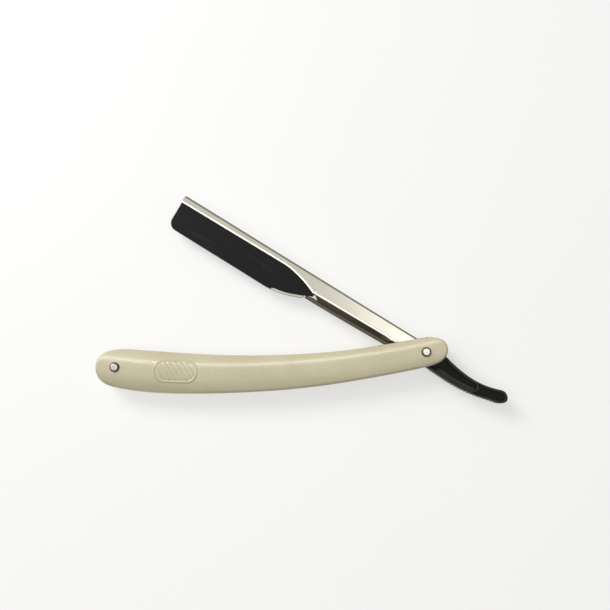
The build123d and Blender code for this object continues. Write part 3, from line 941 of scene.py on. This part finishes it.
def holder_bend(x, y):
    """The tip leans back towards the edge, and ends in a long round corner."""
    lean = TIP_LEAN * np.clip((y - holder_top) / 7, 0, 1.2)
    below = np.clip((y - holder_edge + TIP_ROUND[1]) / TIP_ROUND[1], 0, 1)
    corner = (TIP_ROUND[0] - TIP_LEAN * 0.2) * (1 - np.sqrt(1 - 0.9999 * below**2))
    return (lean + corner) * ramp(x, holder_tip - HOLDER_TIP_RUN, holder_tip)


# %% Make the holder
leaf_stations = np.concatenate(
    [
        np.linspace(heel, heel + HEEL_STEP, 12),
        np.linspace(heel + HEEL_STEP + 0.02, heel + HEEL_RUN + 1, 50),
        np.linspace(heel + HEEL_RUN + 1.5, holder_tip - HOLDER_TIP_RUN, 24),
        np.linspace(holder_tip - HOLDER_TIP_RUN, holder_tip - 0.15, 30)[1:],
        [holder_tip],
    ]
)


def mark_painted_reflection(leaf):
    """Marks the heel's facet: faces in its run, below the outer face, that look to the edge."""
    count = len(leaf.data.polygons)
    centres, normals = np.empty(3 * count), np.empty(3 * count)
    leaf.data.polygons.foreach_get("center", centres)
    leaf.data.polygons.foreach_get("normal", normals)
    centres, normals = centres.reshape(-1, 3) / MM, normals.reshape(-1, 3)
    x, y = centres @ ALONG, centres @ EDGEWARD
    gap = holder_lower(x) - y
    in_run = (x > heel + HEEL_STEP + 0.05) & (x < heel + HEEL_RUN - 2.5)
    bare = in_run & (gap > 0.03) & (gap < HEEL_FACET[0]) & (normals @ EDGEWARD > 0.2)
    # The marked faces are painted pale: a painted reflection of the heel's bright chamfer.
    mark = leaf.data.attributes.new("painted_reflection_facet", "FLOAT", "FACE")
    mark.data.foreach_set("value", bare.astype(np.float32))
    print(f"{leaf.name}: {bare.sum()} bare faces")


def holder_leaf(name, node, side):
    outlines = leaf_outlines(leaf_stations, side)
    centre = outlines[-1].mean(axis=0)
    outlines[-1] += (centre - outlines[-1]) * np.array([0.015, 0.12])
    leaf = skin(name, [carry(outlines, leaf_stations, holder_bend)])
    mark_painted_reflection(leaf)
    paint(leaf, HOLDER_BLACK)
    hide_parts(node)
    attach(leaf, "holder")
    return leaf


front_leaf = holder_leaf("holder_leaf_front", "holder_front_leaf", 1)
back_leaf = holder_leaf("holder_leaf_back", "holder_back_leaf", -1)

# %% [markdown]
# ## The tang
#
# The tang is a glossy black moulding with a raised rim, a deep thumb recess, a shallower panel near
# its end and ribs across its lower edge for a fingertip. It is a plate with the same shaped face on
# both sides. The distance to the outline gives the rim, and each recess is a smooth step of the
# distance to its own border, whose corners are rounded where two distances meet.

# %% Tang sizes
TANG_UPPER = [(0, -3.5), (0.16, -2.85), (0.33, -1.65), (0.5, -1.1), (0.615, -1.25)]
TANG_UPPER += [(0.73, -1.9), (0.845, -3.05), (0.93, -3.55)]
TANG_LOWER = [(0.94, 1.7), (0.845, 2.75), (0.73, 3.75), (0.615, 4.6), (0.5, 5.15)]
TANG_LOWER += [(0.33, 5.5), (0.16, 5.3), (0, 5.0)]
TANG_END_DROP = -0.9
TANG_RIM = 0.9
TANG_ROUND = 0.55
THUMB_RECESS = 0.85
TAIL_RECESS = 0.42
RECESS_SPLIT = 26.4
RECESS_WEB = 0.9
RECESS_CORNERS = (2.2, 1.2)
RECESS_SIDES = (0.42, 0.35)
RIDGE_DEPTHS = (0.72, 1.5)
RIDGE_SPREAD = 0.12
RIDGE_RISE = 0.3
HIGHLIGHT_SPREAD = 0.1
RIB_PITCH = 1.45
RIB_DEPTH = 0.3
RIB_SLANT = 0.35
RIB_REACH = 0.55
ROUND_RUN = 3.0


def tang_outline():
    bare = tang_end - sleeve_end
    upper = [(sleeve_end + bare * share, drop) for share, drop in TANG_UPPER]
    lower = [(sleeve_end + bare * share, drop) for share, drop in TANG_LOWER]
    hidden = [(sleeve_end + 2, 4.4), (sleeve_end + 2, -2.4)]
    return smooth_loop(np.array(upper + [(tang_end, TANG_END_DROP)] + lower + hidden), 900)


def within(a, b, radius):
    """Distance inside a border that is the nearer of two, with its corner rounded."""
    corner = radius - np.hypot(np.maximum(radius - a, 0), np.maximum(radius - b, 0))
    return np.where((a < radius) & (b < radius), corner, np.minimum(a, b))


def recess_borders(x, edge):
    """Distance inside the thumb recess and inside the panel behind it."""
    thumb = within(edge - TANG_RIM, x + RECESS_SPLIT, RECESS_CORNERS[0])
    behind = within(edge - TANG_RIM, -RECESS_SPLIT - RECESS_WEB - x, RECESS_CORNERS[1])
    return thumb, behind


def hump(value, middle_at, spread):
    """A smooth hump: e to the minus square of the distance from its middle, in spreads."""
    return np.exp(-(((value - middle_at) / spread) ** 2))


def ridges(x, y, thumb):
    """Two fine ridges that follow the lower side of the thumb recess."""
    pair = sum(hump(thumb, depth, RIDGE_SPREAD) for depth in RIDGE_DEPTHS)
    return pair * ramp(y, 1.5, 2.6) * ramp(-x, 7, 10)


def tang_face(x, y, edge):
    """Half the thickness: full on the rim, less in the recesses, rounded at the outline."""
    turned = TANG_ROUND - np.minimum(edge, TANG_ROUND)
    rounded = TANG_ROUND - np.sqrt(TANG_ROUND**2 - turned**2)
    thumb, behind = recess_borders(x, edge)
    recess = THUMB_RECESS * ramp(thumb, 0, RECESS_SIDES[0])
    recess += TAIL_RECESS * ramp(behind, 0, RECESS_SIDES[1])
    return HALF - rounded - recess + RIDGE_RISE * ridges(x, y, thumb)


def tang_back(x, y, edge):
    return -tang_face(x, y, edge)


def mark_painted_highlights(piece):
    """Marks the recesses' lips, the two ridges and the outer rim for painted highlights."""
    count = len(piece.data.vertices)
    points = np.empty(3 * count)
    piece.data.vertices.foreach_get("co", points)
    points = points.reshape(-1, 3) / MM
    x, y = (points @ ALONG)[:, None], (points @ EDGEWARD)[:, None]
    edge = far_from(tang_rim, x, y)
    thumb, behind = recess_borders(x, edge)
    lip = hump(thumb, 0.02, HIGHLIGHT_SPREAD) + 0.6 * hump(behind, 0.02, HIGHLIGHT_SPREAD)
    rim = 0.6 * hump(edge, 0.35, HIGHLIGHT_SPREAD)
    highlight_share = np.clip(0.55 * lip + rim + ridges(x, y, thumb), 0, 1)[:, 0]
    # These marks get a pale colour: painted highlights.
    mark = piece.data.attributes.new("painted_edge_highlight", "FLOAT", "POINT")
    mark.data.foreach_set("value", highlight_share.astype(np.float32))


# %% Make the tang
def ribbed(points):
    """Ribs across the lower edge, slanted over its thickness: points move in by a rounded wave."""
    x, y, z = points[..., 0], points[..., 1], points[..., 2]
    wave = 0.5 - 0.5 * np.cos(2 * np.pi * (x + RIB_SLANT * z) / RIB_PITCH)
    span = ramp(-x, 14, 17) * ramp(x, -36.5, -34)
    side = outline_low(x) - y
    near = hump(np.maximum(side, 0), 0, RIB_REACH)
    moved = points.copy()
    moved[..., 1] -= RIB_DEPTH * wave * span * near
    return moved


def outline_low(x):
    """The tang's lower side at a place along it."""
    edgeward_side = tang_rim[tang_rim[:, 1] > 1.2]
    order = np.argsort(edgeward_side[:, 0])
    return np.interp(x, edgeward_side[order, 0], edgeward_side[order, 1])


tang_rim = tang_outline()
tang_first, tang_last = tang_rim[:, 0].min(), tang_rim[:, 0].max()
round_end = tang_first + ROUND_RUN * (1 - np.cos(np.linspace(0, np.pi / 2, 36)))
straight = np.linspace(tang_first + ROUND_RUN + 0.1, tang_last, 260)
tang_stations = np.concatenate([round_end, straight])
shaped = plate(tang_rim, tang_stations, 110, tang_face, tang_back)
along, across, height = np.moveaxis(ribbed(shaped), -1, 0)
tang_piece = skin("tang_moulding", [to_row(along, across, height + middle)], False, 60)
mark_painted_highlights(tang_piece)
paint(tang_piece, TANG_BLACK)
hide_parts("tang")
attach(tang_piece, "arm")

# %% [markdown]
# ## Rivets, collars and washers
#
# A rivet here is a pin whose ends are peened out over conical collars. They are turned parts, so
# each is a profile of radius and height spun round the pin's axis. The collar is a cup with a wide
# flat lip. The pivot's head has a faint dimple, and the tail's has a small hole left by the punch.


# %% Turned parts
def turned(name, node, profile, radii, at_x, base, outward=1):
    """A closed profile of (radius, height) spun round an upright axis, in rivet metal."""
    flat = soften(np.array(profile, float)[None], radii, 4)[0]
    angle = np.linspace(0, 2 * np.pi, 96, endpoint=False)[:, None]
    x = at_x + flat[:, 0] * np.cos(angle)
    y = flat[:, 0] * np.sin(angle)
    z = base + outward * np.broadcast_to(flat[:, 1], x.shape)
    grid = np.stack([x, y, z], axis=-1)
    piece = skin(name, [np.concatenate([grid, grid[:1]])], False, 40)
    paint(piece, NICKEL)
    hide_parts(node)
    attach(piece, "handle")


PIVOT_PIN = 1.2
TAIL_PIN = 1.1
PIN_PLAY = 0.02

# %% Make the collars
COLLAR_RADIUS = 2.05
COLLAR_HEIGHT = 0.75
COLLAR_SUNK = 0.1
COLLAR_WALL = 0.22
COLLAR_LIP = (1.62, 1.48)
for end, at_x, pin in (("pivot", 0.0, PIVOT_PIN), ("tail", tail_x, TAIL_PIN)):
    for side, outward in (("front", 1), ("back", -1)):
        collar = f"{end}_collar_{side}"
        cup = [
            (pin + PIN_PLAY, -COLLAR_SUNK),
            (COLLAR_RADIUS, -COLLAR_SUNK),
            (COLLAR_RADIUS, COLLAR_WALL),
            (COLLAR_LIP[0], COLLAR_HEIGHT),
            (COLLAR_LIP[1], COLLAR_HEIGHT),
            (pin + PIN_PLAY, COLLAR_HEIGHT - 0.02),
        ]
        rounding = [0.02, 0.05, 0.08, 0.1, 0.06, 0.02]
        base = reach(collar, UP)[0 if outward > 0 else 1]
        turned(f"{end}_collar_cup_{side}", collar, cup, rounding, at_x, base, outward)

# %% Make the rivets
HEAD_LIP = 0.3
HEAD_CHAMFER = 0.12
HEAD_HEIGHT = 0.25
PIVOT_DIMPLE = (0.4, 0.05)
TAIL_DIMPLE = (0.42, 0.9)
rivet_low, rivet_high = reach("pivot_rivet", UP)
top = (rivet_high - rivet_low) / 2
rivets = (("pivot", 0.0, PIVOT_PIN, PIVOT_DIMPLE), ("tail", tail_x, TAIL_PIN, TAIL_DIMPLE))
for end, at_x, pin, (dimple, depth) in rivets:
    head = pin + HEAD_LIP
    upper = [
        (0.0005, top - depth),
        (dimple * 0.8, top - depth),
        (dimple, top - 0.02),
        (head - HEAD_CHAMFER, top),
        (head, top - HEAD_CHAMFER),
        (head, top - HEAD_HEIGHT),
        (pin, top - HEAD_HEIGHT),
    ]
    profile = upper + [(r, -h) for r, h in reversed(upper)]
    rounding = [0.0001, 0.05, 0.06, 0.08, 0.06, 0.03, 0.03]
    turned(f"{end}_rivet_pin", f"{end}_rivet", profile, rounding + rounding[::-1], at_x, middle)

# %% Paint the washers
BRASS = polished_steel("washer_brass", (0.72, 0.52, 0.25, 1), 0.22, 0.4, 0.2)
for side in ("front", "back"):
    paint(frame["nodes"][f"pivot_washer_{side}"], BRASS)
